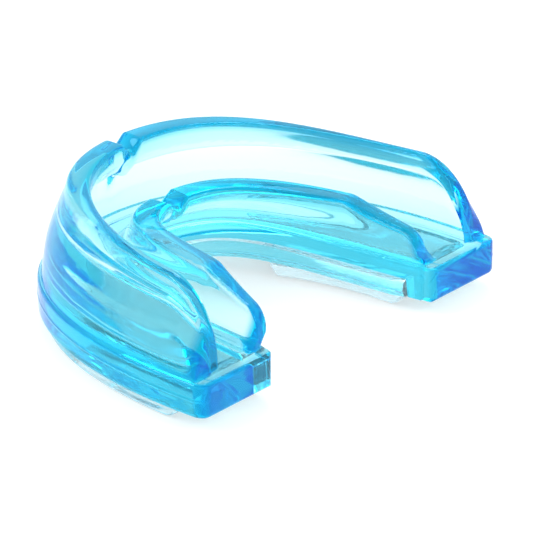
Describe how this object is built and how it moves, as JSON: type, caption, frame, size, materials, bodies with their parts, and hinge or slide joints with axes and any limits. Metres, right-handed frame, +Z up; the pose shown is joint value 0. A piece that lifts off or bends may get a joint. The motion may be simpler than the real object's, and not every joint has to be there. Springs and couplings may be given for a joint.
{
  "type": "mouthguard for braces",
  "caption": "U-shaped clear blue silicone mouthguard with a tooth channel between two flanges and raised bite pads under the molars.",
  "frame": {"origin": "centre of the footprint, on the level the bite pads rest on", "axes": "+Z up, the way the tooth channel opens; the front teeth sit at -Y and both tails point to +Y; it mirrors across X = 0"},
  "size_m": [0.0624, 0.0478, 0.0203],
  "materials": {
    "blue_silicone": "glossy clear silicone, tinted cyan blue",
    "clear_silicone": "glossy clear silicone, nearly colourless with a faint blue tint"
  },
  "bodies": {
    "root": {"outer_flange": "blue_silicone", "inner_flange": "blue_silicone", "bite_slab": "blue_silicone", "bite_insert": "clear_silicone", "bite_pad_right": "clear_silicone", "bite_pad_left": "clear_silicone"}
  },
  "joints": []
}
